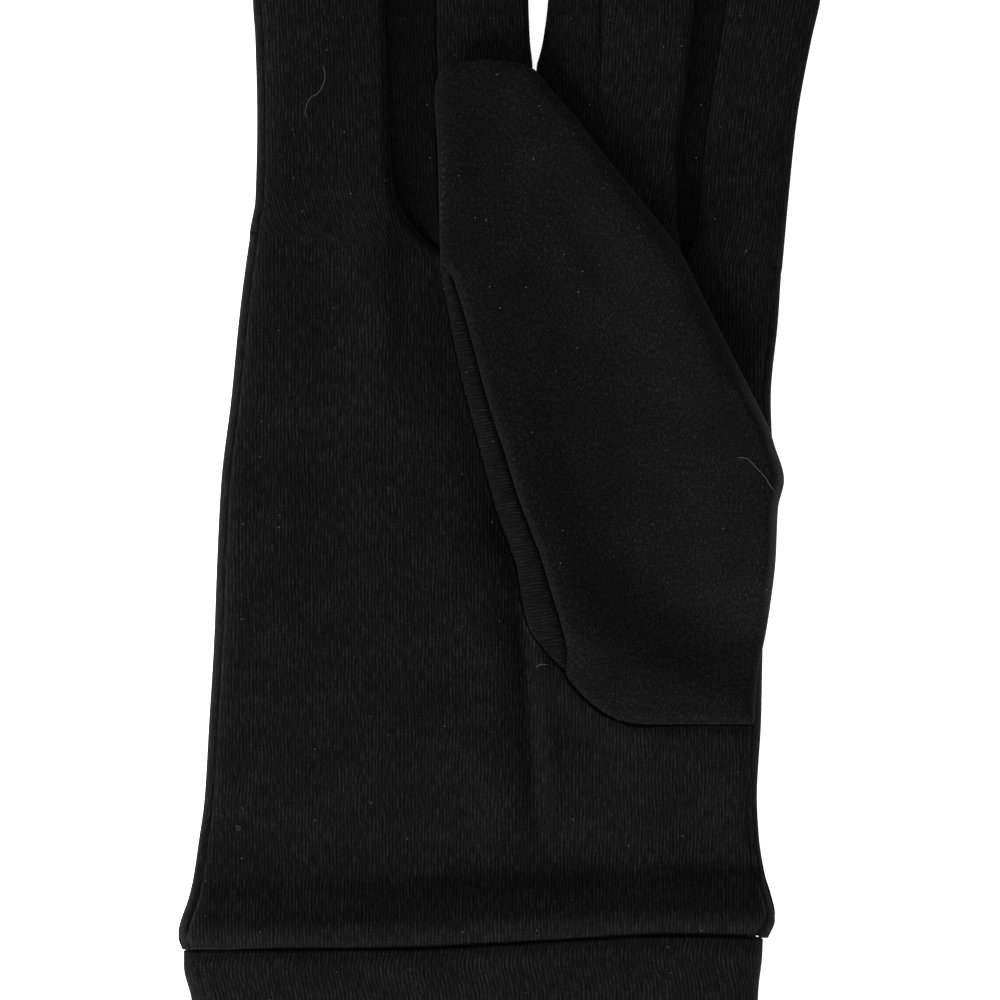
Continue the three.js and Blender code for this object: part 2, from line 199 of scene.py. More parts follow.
THUMB_RIGHT = [
    (36.4, 41.9), (44.0, 42.5), (47.7, 43.1), (51.0, 43.8), (56.0, 44.6), (63.5, 45.5), (72.0, 45.9),
    (76.7, 46.9), (82.5, 45.3), (85.0, 44.5), (90.0, 42.1), (106.4, 33.8), (114.7, 29.6),
    (122.9, 23.3), (131.2, 16.6), (137.8, 11.5), (139.4, 10.0), (141.1, 8.5), (142.8, 7.2),
    (144.5, 5.6), (145.2, 4.0), (145.6, 2.2), (145.9, 0.2), (146.1, -3.1),
]

# The thumb's base seam as plan places, its left end round
THUMB_BASE_SEAM = [
    (11.0, 44.8), (13.2, 41.6), (16.0, 39.1), (18.6, 37.5), (21.5, 36.6), (24.2, 36.4), (31.8, 36.6),
    (42.1, 36.4),
]
THUMB_TIP = dict(start=141.5, end=146.1, z=10.0)

# The thumb's upper face: heights at shares of the way across, in rows up from the base seam
THUMB_ACROSS = (0.0, 0.1, 0.25, 0.42, 0.6, 0.8, 0.9, 1.0)
THUMB_FORM = [
    (36.5, (9.4, 9.5, 9.6, 9.6, 9.5, 9.3, 9.1, 9.0)),
    (38.5, (9.9, 10.0, 10.1, 10.0, 9.8, 9.5, 9.3, 9.2)),
    (44.5, (10.3, 10.4, 10.4, 10.2, 9.6, 8.3, 8.0, 7.9)),
    (50.0, (11.1, 10.9, 10.2, 9.0, 7.8, 7.5, 7.8, 8.1)),
    (55.3, (11.8, 11.2, 9.4, 7.9, 7.3, 8.3, 9.2, 10.0)),
    (60.2, (12.1, 11.4, 9.2, 7.9, 8.3, 10.4, 11.5, 12.2)),
    (73.4, (12.3, 11.4, 9.2, 8.5, 9.4, 11.8, 12.8, 13.3)),
    (85.0, (12.0, 11.3, 9.7, 9.2, 10.0, 12.3, 13.2, 13.3)),
    (98.2, (11.3, 10.9, 9.9, 9.2, 9.7, 12.1, 12.9, 12.6)),
    (114.7, (11.0, 10.9, 10.3, 9.6, 9.8, 11.9, 12.5, 12.2)),
    (128.0, (11.2, 11.2, 10.7, 10.3, 10.5, 11.2, 11.5, 11.3)),
    (141.0, (10.9, 10.9, 10.8, 10.7, 10.7, 10.7, 10.7, 10.6)),
]

# The thumb's edges: their heights, and how far in its upper face rounds down to them and to the base
# seam. Below THUMB_OPEN_BELOW it has no underside, because it is open to the hand.
THUMB_LEFT_Z = [
    (36.5, 8.5), (43.7, 9.4), (49.0, 10.5), (56.0, 11.1), (85.0, 10.8), (108.0, 9.9), (112.5, 9.2),
    (139.4, 9.0),
]
THUMB_RIGHT_Z = [
    (36.5, 7.0), (48.0, 5.2), (60.0, 4.4), (75.0, 4.4), (82.0, 6.0), (88.0, 9.0), (95.0, 9.4),
    (139.4, 9.2),
]
THUMB_LEFT_ROUND = [(36.5, 3.0), (60.0, 2.0), (105.0, 2.0), (113.0, 1.8), (139.4, 2.2)]
THUMB_RIGHT_ROUND = [(36.5, 2.4), (60.0, 2.0), (80.0, 2.2), (92.0, 3.4), (139.4, 3.0)]
THUMB_BASE_ROUND = 8.0
THUMB_BASE_END = 70.0
THUMB_OPEN_BELOW = 84.0
THUMB_RIDGE = [(39.0, 92.0), (44.6, 83.0)]

# Outline of the cuff band: how far down from its seam, left edge, right edge and height over the floor
CUFF_OUTLINE = [
    (0.0, -52.2, 43.4, 7.3), (2.5, -52.2, 43.3, 7.9), (8.9, -50.9, 42.6, 8.2), (20.0, -50.7, 42.4, 8.2),
    (CUFF_LENGTH, -51.1, 42.7, 8.2),
]

RNG = np.random.default_rng(7)


def smooth_curve(knots):
    """A smooth function through (place, value) knots that doesn't overshoot them."""
    places, values = (np.array(column, float) for column in zip(*sorted(knots)))
    steps = np.diff(places)
    rises = np.diff(values) / steps
    slopes = np.zeros_like(values)
    for k in range(1, len(values) - 1):
        if rises[k - 1] * rises[k] > 0:
            slopes[k] = 2 / (1 / rises[k - 1] + 1 / rises[k])
    slopes[0] = rises[0]
    slopes[-1] = rises[-1]

    def curve(at):
        at = np.clip(np.asarray(at, float), places[0], places[-1])
        k = np.clip(np.searchsorted(places, at) - 1, 0, len(steps) - 1)
        t = (at - places[k]) / steps[k]
        from_knot = (1 + 2 * t) * (1 - t) ** 2 * values[k] + t * (1 - t) ** 2 * steps[k] * slopes[k]
        to_knot = t * t * (3 - 2 * t) * values[k + 1] + t * t * (t - 1) * steps[k] * slopes[k + 1]
        return from_knot + to_knot

    return curve


def curves(table):
    """Each column of a table after the first, as a smooth function of the first."""
    places, *columns = zip(*table)
    return [smooth_curve(list(zip(places, values))) for values in columns]


def mix(a, b, share):
    return a + (b - a) * share


def ease(share):
    """0 to 1 with flat ends."""
    share = np.clip(share, 0, 1)
    return share * share * (3 - 2 * share)


def round_share(reach):
    """Height share of a rounded edge, from 0 at reach 0 to the top at reach 1."""
    return np.sqrt(np.clip(1 - (1 - np.clip(reach, 0, 1)) ** 2, 0, 1))


def edge_spread(count, crowd=0.55):
    """Places from 0 to 1, closer together near both ends."""
    even = np.linspace(0, 1, count + 1)
    return mix(even, 0.5 - 0.5 * np.cos(math.pi * even), crowd)


def run_across(x, z):
    """Length of cloth from the first column to each one, along every row."""
    steps = np.hypot(np.diff(x, axis=1, prepend=x[:, :1]), np.diff(z, axis=1, prepend=z[:, :1]))
    return np.cumsum(steps, axis=1)


def grid(x, y, z, across):
    """A grid of points with its knit places, which run across and up."""
    return np.stack([x, y, z], -1), np.stack([across, y], -1)


def uneven_relief(longest, shortest, count):
    """Smooth uneven relief made from a few seeded sine waves."""
    angles = RNG.uniform(0, math.tau, count)
    lengths = RNG.uniform(shortest, longest, count)
    phases = RNG.uniform(0, math.tau, count)
    across = math.tau * np.cos(angles) / lengths
    up = math.tau * np.sin(angles) / lengths
    weights = lengths / lengths.sum()

    def relief(x, y):
        return sum(weight * np.sin(kx * x + ky * y + phase)
                   for kx, ky, phase, weight in zip(across, up, phases, weights))

    return relief


SOFT_WAVES = uneven_relief(60.0, 18.0, 9)
SMALL_WAVES = uneven_relief(9.0, 3.0, 14)


def place(points):
    """Plan millimetres to metres in the frame."""
    points = np.asarray(points, float).reshape(-1, 3)
    return (points + np.array([PLAN_X, PLAN_Y, 0.0])) * MM


def draw_in(points):
    """Plan places as seen from the camera, brought to where they lie at their own height."""
    points = np.asarray(points, float).reshape(-1, 3)
    height = np.maximum(points[:, 2], SIDE_MIDDLE)
    share = ((CAMERA_HEIGHT - height) / (CAMERA_HEIGHT - PHOTO_LEVEL))[:, None]
    middle = np.array(PHOTO_MIDDLE)
    flat = middle + (points[:, :2] - middle) * share
    return np.concatenate([flat, points[:, 2:]], 1)


# Relief of the palm

cuff_y = smooth_curve(CUFF_SEAM)
thumb_foot_x = smooth_curve(THUMB_FOOT)

# How high each fold of the palm stands, or how deep it lies
FOLDS = dict(waves=0.55, small_waves=0.08, crease=2.3, hollow=3.1, ridge=0.7, roll=1.5, root=1.5,
             beside_thumb=1.0, base_swell=1.5, base_seam=0.5)
CREASE_LOW_X = 6.4
CREASE_HIGH_X = 3.4
HOLLOW_UP = 12.6
RIDGE_UP = 3.4
ROOT_FOLD = dict(x=-19.0, y=110.0)


def gauss(distance, width):
    return np.exp(-((distance / width) ** 2))


def distance_to_line(x, y, line):
    """Plan distance from points to a line of straight runs."""
    best = np.full(np.shape(x), np.inf)
    for (ax, ay), (bx, by) in zip(line, line[1:]):
        run_x, run_y = bx - ax, by - ay
        share = np.clip(((x - ax) * run_x + (y - ay) * run_y) / (run_x ** 2 + run_y ** 2), 0, 1)
        best = np.minimum(best, np.hypot(x - ax - share * run_x, y - ay - share * run_y))
    return best


def palm_crease(x, y):
    """The long crease up the middle: steep on its right, following the gusset's foot higher up."""
    line_x = mix(CREASE_LOW_X, CREASE_HIGH_X, np.clip((y - 14) / 40, 0, 1))
    off = x - np.minimum(line_x, np.where(y > 52, thumb_foot_x(y), 99.0))
    crease = np.where(off < 0, np.exp(off / 2.4), gauss(off, 1.5)) - 0.3 * gauss(off - 3.0, 1.8)
    return crease * ease((y - 12) / 18) * mix(0.3, 1.0, ease((96 - y) / 34)) * ease((116 - y) / 8)


def wrist_hollow(x, up):
    """The wide hollow over the cuff seam, shallower towards the little finger's side."""
    off = up - HOLLOW_UP
    hollow = np.where(off < 0, gauss(off, 4.2), gauss(off, 12.0)) * mix(0.45, 1.0, ease((x + 24) / 18))
    return hollow * (1 - 0.3 * gauss(x - 25, 5.0))


def root_fold(x, y):
    """The low fold below the little finger's root, steep on its right."""
    off = x - ROOT_FOLD["x"]
    return np.where(off < 0, gauss(off, 7.0), gauss(off, 1.8)) * gauss(y - ROOT_FOLD["y"], 15.0)


def thumb_press(x, y):
    """How far the palm is pressed down beside and below the thumb."""
    off = x - thumb_foot_x(y)
    return np.where(off < 0, gauss(off, 4.5), 1.0) * ease((y - 40) / 14) * ease((118 - y) / 12)


def base_swell(x):
    """The palm swells up towards the thumb's base seam, most at its left end."""
    return FOLDS["base_swell"] * ease((32 - x) / 14)


def palm_relief(x, y):
    """Soft folds of the palm side: how far the cloth stands over its plain height."""
    up = y - cuff_y(x)
    off_base = distance_to_line(x, y, THUMB_BASE_SEAM)
    swell = base_swell(x) * gauss(off_base, 3.4) * ease((51 - y) / 6)
    return (FOLDS["waves"] * SOFT_WAVES(x, y) + FOLDS["small_waves"] * SMALL_WAVES(x, y)
            - FOLDS["crease"] * palm_crease(x, y) - FOLDS["hollow"] * wrist_hollow(x, up)
            + FOLDS["ridge"] * gauss(up - RIDGE_UP, 2.2) - FOLDS["roll"] * gauss(up, 0.9)
            + FOLDS["root"] * root_fold(x, y) - FOLDS["beside_thumb"] * thumb_press(x, y)
            + (swell - FOLDS["base_seam"] * gauss(off_base, 0.75)))


# Sections

@dataclass
class Side:
    """One side of a section at every row: its widest edge, and its seams above and below."""

    sign: int
    edge: np.ndarray
    inset: np.ndarray
    angle: np.ndarray
    reach: np.ndarray
    low_inset: np.ndarray
    low_angle: np.ndarray
    low_reach: np.ndarray
    lean: float = 0.0

    def seam_at(self, low):
        return self.edge + self.sign * (self.low_inset if low else self.inset)


def side_share(x, seam, sign, reach, angle):
    """Height share of a face near one of its seams."""
    into = np.clip((x - seam) * sign / reach, 0, 1)
    return np.sqrt(np.clip(1 - (np.cos(np.radians(angle)) * (1 - into)) ** 2, 0, 1))


@dataclass
class Section:
    """A flattened tube section at every row: left and right sides, top, middle and floor heights."""

    left: Side
    right: Side
    top: np.ndarray
    middle: np.ndarray
    floor: np.ndarray

    def seams(self, low):
        """Places of the left and the right seam."""
        return self.left.seam_at(low), self.right.seam_at(low)

    def share(self, x, low):
        """Height share at x, of the top or of the underside."""
        total = 1.0
        for side in (self.left, self.right):
            reach = side.low_reach if low else side.reach
            angle = side.low_angle if low else side.angle
            total = total * side_share(x, side.seam_at(low), side.sign, reach, angle)
        return total


def seam_groove(distance, depth):
    return depth * SEAM_DEPTH * gauss(distance, SEAM_WIDTH)


palm_left, palm_right = curves(PALM_OUTLINE)
palm_high = smooth_curve(PALM_HEIGHTS)


def palm_section(y):
    """The palm's section at heights y, an array of any shape."""
    zero = np.zeros_like(y)
    left, right = (
        Side(sign, edge(y), zero + SEAM_INSET, zero + ROUND_ANGLE, zero + ROUND_REACH,
             zero, zero, zero + LOW_REACH)
        for sign, edge in ((1, palm_left), (-1, palm_right)))
    return Section(left, right, palm_high(y), zero + SIDE_MIDDLE, zero)


def finger_side(finger, key, y, centre, half):
    """The left or right side of a finger's section at heights y."""
    sign = 1 if key == "left" else -1
    root = FINGERS.index(finger) + (key == "right")
    outer = root in (0, len(FINGERS))
    rise = 1.0 + 0 * y if outer else ease((y - ROOTS[root]) / CROTCH_RISE)
    taper = ease((finger["tip_start"] - y) / STRIP_TAPER)
    form = SLOPES[finger["name"]][key]
    if form["seam"]:
        from_edge = smooth_curve(form["seam"])(y) - smooth_curve(finger[key])(y)
        shown = np.maximum(sign * from_edge, 0.0) * taper
    else:
        shown = form["shown"] * rise * taper
    angle = mix(CROTCH_ANGLE, form["angle"], rise) * taper
    low_shown = 0 * y if outer else LOW_SHOWN * rise * taper
    low_angle = 0 * y if outer else mix(CROTCH_ANGLE, LOW_ANGLE, rise) * taper
    wide = np.maximum(half, 0.01)
    reach = np.minimum(mix(TIP_REACH, mix(ROUND_REACH, form["reach"], rise), taper), wide)
    low_reach = np.minimum(mix(TIP_LOW_REACH, FINGER_LOW_REACH, taper), wide)
    lean = form["lean"] * rise * taper
    return Side(sign, centre - sign * half, shown, angle, reach, low_shown, low_angle, low_reach, lean)


def finger_section(finger, y):
    """The finger's section at heights y, an array of any shape."""
    start = finger["tip_start"]
    into = np.clip((y - start) / (finger["tip"] - start), 0, 1)
    keep = np.sqrt(np.clip(1 - into ** TIP_POWER, 0, 1))
    left_x, right_x = (smooth_curve(finger[key])(y) for key in ("left", "right"))
    centre = (left_x + right_x) / 2
    half = (right_x - left_x) / 2 * keep
    left, right = (finger_side(finger, key, y, centre, half) for key in ("left", "right"))
    top = mix(SIDE_MIDDLE, smooth_curve(finger["depth"])(y), keep)
    return Section(left, right, top, 0 * y + SIDE_MIDDLE, mix(SIDE_MIDDLE, 0.0, keep))


def face_height(section, x, y, low=False, share=None):
    """Height of the top or the underside at x, y."""
    if share is None:
        share = section.share(x, low)
    if low:
        return section.middle - (section.middle - section.floor) * share
    return section.middle + (section.top - section.middle) * share + palm_relief(x, y) * share ** 2


# The comb: one face of the hand, a palm patch with four finger patches on it

FACE_COLUMNS = dict(little=34, ring=28, middle=28, index=32)
LOW_COLUMNS = dict(little=20, ring=16, middle=16, index=20)
FINGER_ROWS = 64
TIP_ROWS = 14
PALM_ROWS = 128
PALM_CROWD = 0.35
GROOVE_RISE = 2.0
GROOVE_FADE = 4.0


def finger_heights(finger, root_y):
    """Height of each row in each column: level with the root line at first, then up the round tip."""
    start = finger["tip_start"]
    straight = np.linspace(0, 1, FINGER_ROWS + 1)
    tip = np.sin(np.linspace(0, math.pi / 2, TIP_ROWS + 1))[1:]
    rows = [mix(root_y, start, share) for share in straight]
    rows += [np.full_like(root_y, mix(start, finger["tip"], share)) for share in tip]
    return np.array(rows)


def finger_patch(order, low):
    """One finger's face: its grid, and its root row as x, y, z and height share."""
    finger = FINGERS[order]
    spread = edge_spread((LOW_COLUMNS if low else FACE_COLUMNS)[finger["name"]])
    y = finger_heights(finger, mix(ROOTS[order], ROOTS[order + 1], spread))
    section = finger_section(finger, y)
    seams = section.seams(low)
    x = mix(*seams, spread[None, :])
    share = section.share(x, low)
    z = face_height(section, x, y, low, share)
    for seam, root in zip(seams, (order, order + 1)):
        outer = root in (0, len(FINGERS))
        if low and outer:
            continue
        grown = 1.0 if outer else ease((y - ROOTS[root]) / GROOVE_RISE)
        fade = ease((finger["tip"] - y) / GROOVE_FADE)
        groove = seam_groove(x - seam, OUTER_GROOVE if outer else INNER_GROOVE)
        z = z + (1 if low else -1) * groove * grown * fade
    drift = (x[:, :1] + x[:, -1:]) / 2
    drift = drift - drift[0]
    return grid(x, y, z, x - drift), (x[0], y[0], z[0], share[0])


def palm_patch(roots, low):
    """The palm's grid, up from the cuff seam to the finger roots' own rows."""
    root_x, root_y, root_z, root_share = (
        np.concatenate([part[:-1] for part in parts] + [parts[-1][-1:]]) for parts in zip(*roots))
    near_share = (root_x - root_x[0]) / (root_x[-1] - root_x[0])
    even_share = edge_spread(len(root_x) - 1, PALM_CROWD)
    even_rises = np.linspace(0, 1, PALM_ROWS + 1)
    rows = []
    for rise in mix(even_rises, even_rises ** 2, PALM_CROWD):
        section = palm_section(root_y * rise)
        from_x, to_x = section.seams(low)
        x = mix(from_x, to_x, mix(even_share, near_share, ease((rise - 0.3) / 0.7)))
        y = mix(cuff_y(x), root_y, rise)
        share = mix(section.share(x, low), root_share, ease((rise - 0.87) / 0.13) ** 1.5)
        z = face_height(section, x, y, low, share)
        if not low:
            z = z - seam_groove(x - from_x, OUTER_GROOVE) - seam_groove(x - to_x, OUTER_GROOVE)
        rows.append((x, y, z))
    rows[-1] = (root_x, root_y, root_z)
    x, y, z = (np.array(part) for part in zip(*rows))
    return grid(x, y, z, x)


def comb(low=False):
    """Grids of one face of the hand, the palm first."""
    fingers = [finger_patch(order, low) for order in range(len(FINGERS))]
    palm = palm_patch([root for _, root in fingers], low)
    return [palm] + [face for face, _ in fingers]


# Making meshes from grids

# Corners closer than this, in metres, become one
JOIN_WITHIN = 2e-6


def new_object(name, data):
    made = bpy.data.objects.new(name, data)
    bpy.context.scene.collection.objects.link(made)
    return made


def plain_mesh(name, corners, faces, material):
    mesh = bpy.data.meshes.new(name)
    mesh.from_pydata(corners, [], faces)
    mesh.materials.append(material)
    return new_object(name, mesh)


def build(name, grids, flips, thickness, material, keep_face=None):
    """One mesh from grids of points with their knit places, joined where they meet.

    A grid is (points rows x columns x 3, knit places rows x columns x 2), both in plan millimetres.
    Faces whose middle keep_face turns down are left out.
    """
    mesh = bpy.data.meshes.new(name)
    made = bmesh.new()
    knit = made.loops.layers.uv.new("knit")
    for (points, plan), flip in zip(grids, flips):
        rows, columns = points.shape[:2]
        verts = [made.verts.new(spot) for spot in place(draw_in(points))]
        flat_plan = plan.reshape(-1, 2)
        for r in range(rows - 1):
            for c in range(columns - 1):
                first = r * columns + c
                corner = [first, first + 1, first + columns + 1, first + columns]
                if keep_face and not keep_face(points.reshape(-1, 3)[corner].mean(axis=0)):
                    continue
                if flip:
                    corner = corner[::-1]
                face = made.faces.new([verts[k] for k in corner])
                face.smooth = True
                for loop, k in zip(face.loops, corner):
                    loop[knit].uv = flat_plan[k]
    bmesh.ops.remove_doubles(made, verts=made.verts, dist=JOIN_WITHIN)
    loose = [vert for vert in made.verts if not vert.link_faces]
    bmesh.ops.delete(made, geom=loose, context="VERTS")
    made.to_mesh(mesh)
    made.free()
    mesh.materials.append(material)
    piece = new_object(name, mesh)
    shell = piece.modifiers.new("cloth", "SOLIDIFY")
    shell.thickness = thickness * MM
    shell.offset = -1.0
    shell.use_even_offset = False
    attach(piece, "root")
    return piece


# Materials

# Stitch pitches and the height of their relief, in mm, and the cloth's colours: its own near-black in the
# middle, with painted shade between the stitches and painted light on their tops
WALE = 0.5775
COURSE = 0.50
STITCH_RELIEF = 0.03
DARK = (0.0003, 0.0003, 0.0003)
MIDDLE = (0.0027, 0.0028, 0.0027)
LIGHT = (0.0115, 0.0118, 0.0115)

# Dots of dust: their tone, cells in a mm, a dot's reach in its cell, and the share of clean cells
DUST = (0.10, 0.10, 0.10, 1.0)
DUST_SCALE = 0.33
DUST_SIZE = 0.045
DUST_RARITY = 0.91


def socket(node, name, value):
    node.inputs[name].default_value = value


class Graph:
    """A short way to write a material's nodes."""

    def __init__(self, name):
        self.material = bpy.data.materials.new(name)
        self.material.use_nodes = True
        self.tree = self.material.node_tree
        self.shader = self.tree.nodes["Principled BSDF"]

    def node(self, kind, **settings):
        made = self.tree.nodes.new(kind)
        for key, value in settings.items():
            setattr(made, key, value)
        return made

    def link(self, out, into):
        self.tree.links.new(out, into)

    def math(self, operation, *values):
        made = self.node("ShaderNodeMath", operation=operation)
        for k, value in enumerate(values):
            if isinstance(value, (int, float)):
                made.inputs[k].default_value = value
            else:
                self.link(value, made.inputs[k])
        return made.outputs[0]

    def add(self, a, b):
        return self.math("ADD", a, b)

    def times(self, a, b):
        return self.math("MULTIPLY", a, b)

    def mapped(self, vector, name, value):
        """The vector with a turn or a stretch."""
        made = self.node("ShaderNodeMapping")
        self.link(vector, made.inputs["Vector"])
        socket(made, name, value)
        return made.outputs["Vector"]

    def noise(self, vector, scale, detail=2.0):
        made = self.node("ShaderNodeTexNoise", noise_dimensions="2D")
        self.link(vector, made.inputs["Vector"])
        socket(made, "Scale", scale)
        socket(made, "Detail", detail)
        return made.outputs["Fac"]

    def uneven(self, vector, scale, detail=2.0):
        """Noise about zero."""
        return self.math("SUBTRACT", self.noise(vector, scale, detail), 0.5)


def stitch_height(graph, plan, wale, course, lattice):
    """Height of the stitches: columns of small V shapes, or a crossed lattice."""
    parts = graph.node("ShaderNodeSeparateXYZ")
    graph.link(plan, parts.inputs[0])
    wander = graph.times(graph.uneven(plan, 0.12), 0.9)
    u = graph.add(parts.outputs["X"], wander)
    v = graph.add(parts.outputs["Y"], wander)
    rib = graph.math("COSINE", graph.times(u, math.tau / wale))
    wave_v = graph.times(v, math.tau / course)
    if lattice:
        half_row = graph.math("COSINE", graph.times(wave_v, 0.5))
        crossed = graph.times(graph.times(rib, half_row), 0.3)
        return graph.add(crossed, graph.times(graph.math("COSINE", wave_v), 0.12))
    fold = graph.math("PINGPONG", graph.math("DIVIDE", u, wale), 0.5)
    leg = graph.math("COSINE", graph.add(wave_v, graph.times(fold, math.tau)))
    return graph.add(graph.times(rib, 0.75), graph.times(leg, 0.16))


def knit_height(graph, plan, wale, course, lattice):
    """Height of the knit: its stitches, clearer in some places, with streaks and grain of loose yarn."""
    stretch = 0.6 if lattice else 0.22
    streaks = graph.uneven(graph.mapped(plan, "Scale", (1.0, stretch, 1.0)), 2.4)
    grain = graph.uneven(plan, 3.0)
    loose = graph.add(graph.times(streaks, 3.6), graph.times(grain, 2.6))
    clear = graph.add(graph.times(graph.noise(plan, 0.45, 1.0), 1.4), 0.2)
    return graph.add(graph.times(stitch_height(graph, plan, wale, course, lattice), clear), loose)


def knit_colour_with_painted_shade(graph, plan, height, tone):
    """Painted shade between the stitches and painted light on their tops, with soft blotches of painted shade
    standing in for small undulations of the cloth.
    """
    # Soft blotches of painted shade and light, standing in for the cloth's small undulations
    painted_mottle = graph.times(graph.uneven(plan, 0.11, 3.0), 0.22)
    level = graph.add(graph.times(height, 0.2), graph.add(painted_mottle, 0.45))
    ramp = graph.node("ShaderNodeValToRGB")
    ramp.color_ramp.elements.new(0.5)
    for stop, shade in zip(ramp.color_ramp.elements, (DARK, MIDDLE, LIGHT)):
        stop.color = (*(tone * part for part in shade), 1.0)
    graph.link(level, ramp.inputs["Fac"])
    return ramp.outputs["Color"]


def dust_amount(graph, plan):
    """Rare small dots of dust, each of its own strength."""
    dots = graph.node("ShaderNodeTexVoronoi", voronoi_dimensions="2D")
    graph.link(plan, dots.inputs["Vector"])
    socket(dots, "Scale", DUST_SCALE)
    small = graph.math("SUBTRACT", 1.0, graph.math("DIVIDE", dots.outputs["Distance"], DUST_SIZE))
    chance = graph.node("ShaderNodeSeparateColor")
    graph.link(dots.outputs["Color"], chance.inputs[0])
    rare = graph.math("GREATER_THAN", chance.outputs[0], DUST_RARITY)
    shown = graph.times(graph.math("MAXIMUM", small, 0.0), rare)
    return graph.times(shown, graph.times(chance.outputs[1], 0.9))


def knit_material(name, wale, course, turn=0.0, lattice=False, tone=1.0):
    """Fine knit: wale and course are the stitch pitches in mm, turn the wales' lean in degrees."""
    graph = Graph(name)
    uv = graph.node("ShaderNodeUVMap", uv_map="knit").outputs["UV"]
    plan = graph.mapped(uv, "Rotation", (0.0, 0.0, math.radians(turn)))
    height = knit_height(graph, plan, wale, course, lattice)
    bump = graph.node("ShaderNodeBump")
    socket(bump, "Strength", 1.0)
    socket(bump, "Distance", STITCH_RELIEF * MM)
    graph.link(height, bump.inputs["Height"])
    graph.link(bump.outputs["Normal"], graph.shader.inputs["Normal"])
    dusted = graph.node("ShaderNodeMix", data_type="RGBA")
    graph.link(dust_amount(graph, plan), dusted.inputs[0])
    # The base colour holds painted shade between the stitches and painted light on their tops
    graph.link(knit_colour_with_painted_shade(graph, plan, height, tone), dusted.inputs[6])
    dusted.inputs[7].default_value = DUST
    graph.link(dusted.outputs[2], graph.shader.inputs["Base Color"])
    socket(graph.shader, "Roughness", 0.88)
    socket(graph.shader, "Specular IOR Level", 0.02)
    socket(graph.shader, "Sheen Weight", 0.012)
    socket(graph.shader, "Sheen Roughness", 0.45)
    socket(graph.shader, "Sheen Tint", (0.9, 0.9, 0.9, 1.0))
    return graph.material


palm_knit = knit_material("palm_knit", WALE, COURSE)
# Darker copies of the palm's knit as painted shade of the valleys between the fingers: lighter on the
# ring-middle strip, deepest on the other two
strip_knit = knit_material("strip_knit", WALE, COURSE, turn=2.0, tone=0.85)
painted_deep_shade_strips = knit_material("painted_deep_shade_strips", WALE, COURSE, turn=2.0, tone=0.45)
# A darker copy of the knit, turned across, as painted shade on the gusset strip beside the thumb
painted_shade_gusset_knit = knit_material("painted_shade_gusset_knit", 0.55, COURSE, turn=80.0, tone=0.6)
thumb_knit = knit_material("thumb_knit", 0.67, 0.586, turn=4.4, lattice=True)
cuff_knit = knit_material("cuff_knit", 0.65, COURSE, tone=1.2)


# Palm panel

thumb_left_x = smooth_curve(THUMB_LEFT)
thumb_right_x = smooth_curve(THUMB_RIGHT)

# The thumb hole: its lowest, highest and right places, and how far right of the thumb's left edge it starts
HOLE_LOW = 42.0
HOLE_HIGH = 82.0
HOLE_RIGHT = 39.0
HOLE_INSET = 3.0


def outside_hole(middle):
    """False inside the thumb hole, which the thumb covers."""
    x, y, _ = middle
    if not HOLE_LOW < y < HOLE_HIGH:
        return True
    return not thumb_left_x(y) + HOLE_INSET < x < HOLE_RIGHT


palm_piece = build("palm_panel_knit", comb(), [False] * 5, CLOTH, palm_knit, outside_hole)
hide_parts("palm_panel")


# Back panel: the underside, and the wraps up round the two outer sides

WRAP_COLUMNS = 9


def side_curve(side, section, share):
    """Points down a section's side: share 0 is the seam on top, 1 the middle, 2 the seam below."""
    above = share < 1
    angle = np.where(above, mix(side.angle, 0.0, share), mix(0.0, side.low_angle, share - 1))
    seam_angle = np.where(above, side.angle, side.low_angle)
    inset = np.where(above, side.inset, side.low_inset)
    span = np.maximum(1 - np.cos(np.radians(seam_angle)), 1e-6)
    x = side.edge + side.sign * inset * np.clip((1 - np.cos(np.radians(angle))) / span, 0, 1)
    leant_x = side.edge + side.sign * side.inset * (1 - share)
    lift = np.sin(np.radians(angle))
    seam_lift = np.sin(np.radians(seam_angle))
    high = section.top - section.middle
    deep = section.middle - section.floor
    leant_z = mix(section.middle + high * seam_lift, LEAN_HEIGHT, share) - LEAN_DIP * 4 * share * (1 - share)
    z_above = mix(section.middle + high * lift, leant_z, side.lean)
    leant_low_z = mix(LEAN_HEIGHT, section.middle - deep * seam_lift, share - 1)
    z_below = mix(section.middle - deep * lift, leant_low_z, side.lean)
    return np.where(above, mix(x, leant_x, side.lean), x), np.where(above, z_above, z_below), lift


def outer_wrap(low_grids, left):
    """The back panel's wrap up one outer side, rows of the palm then of the outer finger."""
    finger = FINGERS[0] if left else FINGERS[-1]
    finger_grid = low_grids[1 if left else len(FINGERS)]
    makers = (palm_section, lambda at: finger_section(finger, at))
    shares = np.linspace(0, 1, WRAP_COLUMNS + 1)
    grids = []
    for (points, _), maker in zip((low_grids[0], finger_grid), makers):
        y = np.repeat(points[:, 0 if left else -1, 1][:, None], WRAP_COLUMNS + 1, 1)
        section = maker(y)
        side = section.left if left else section.right
        x, z, lift = side_curve(side, section, shares[None, :] + 0 * y)
        x[:, -1] = side.edge[:, -1]
        z = z + palm_relief(x, y) * lift ** 2
        run = np.hypot(x - side.seam_at(False), z - z[:, :1])
        z = z - seam_groove(run, OUTER_GROOVE) * (section.top > SIDE_MIDDLE + 0.5)
        grids.append(grid(x, y, z, run_across(x, z)))
    return grids


back_grids = comb(low=True)
back_grids += outer_wrap(back_grids, True) + outer_wrap(back_grids, False)
back_piece = build("back_panel_knit", back_grids,
                   [True] * 7 + [False] * 2, CLOTH, palm_knit)
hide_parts("back_panel")


# Fourchettes: the strips between the fingers, each folded round its crotch

STRIP_COLUMNS = 18


